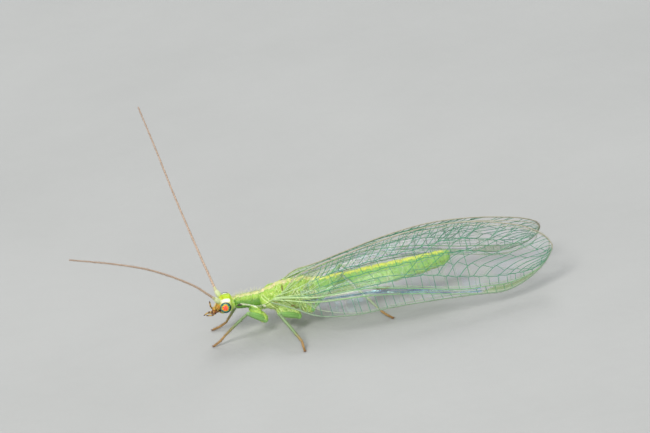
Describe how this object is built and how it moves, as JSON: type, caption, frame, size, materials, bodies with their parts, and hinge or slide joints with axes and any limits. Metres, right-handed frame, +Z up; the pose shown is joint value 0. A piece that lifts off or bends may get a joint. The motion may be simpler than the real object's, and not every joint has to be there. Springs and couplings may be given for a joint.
{
  "type": "lacewing insect model",
  "caption": "Life-size still model of a slender green insect at rest: long thin feelers, thin legs on small flat feet and clear veined wings folded like a roof over the body",
  "frame": {"origin": "on the floor, under the middle of the outline seen from above", "axes": "+Z up, -X where the head points, -Y the insect's left side"},
  "size_m": [0.0232, 0.0094, 0.0115],
  "materials": {
    "skin_head": "satin",
    "eye": "glossy, iridescent",
    "mouth": "satin",
    "feeler": "matt, fine hairs",
    "skin_body": "satin",
    "skin_abdomen": "satin",
    "leg": "satin",
    "membrane": "clear and glossy, iridescent, with green veins"
  },
  "bodies": {
    "root": {"head": "skin_head", "eye_left": "eye", "eye_right": "eye", "mouthparts": "mouth", "antenna_left": "feeler", "antenna_right": "feeler", "prothorax": "skin_body", "mesothorax": "skin_body", "metathorax": "skin_body", "abdomen": "skin_abdomen", "leg_fore_left": "leg", "leg_fore_right": "leg", "leg_mid_left": "leg", "leg_mid_right": "leg", "leg_hind_left": "leg", "leg_hind_right": "leg", "forewing_left": "membrane", "forewing_right": "membrane", "hindwing_left": "membrane", "hindwing_right": "membrane"}
  },
  "joints": []
}
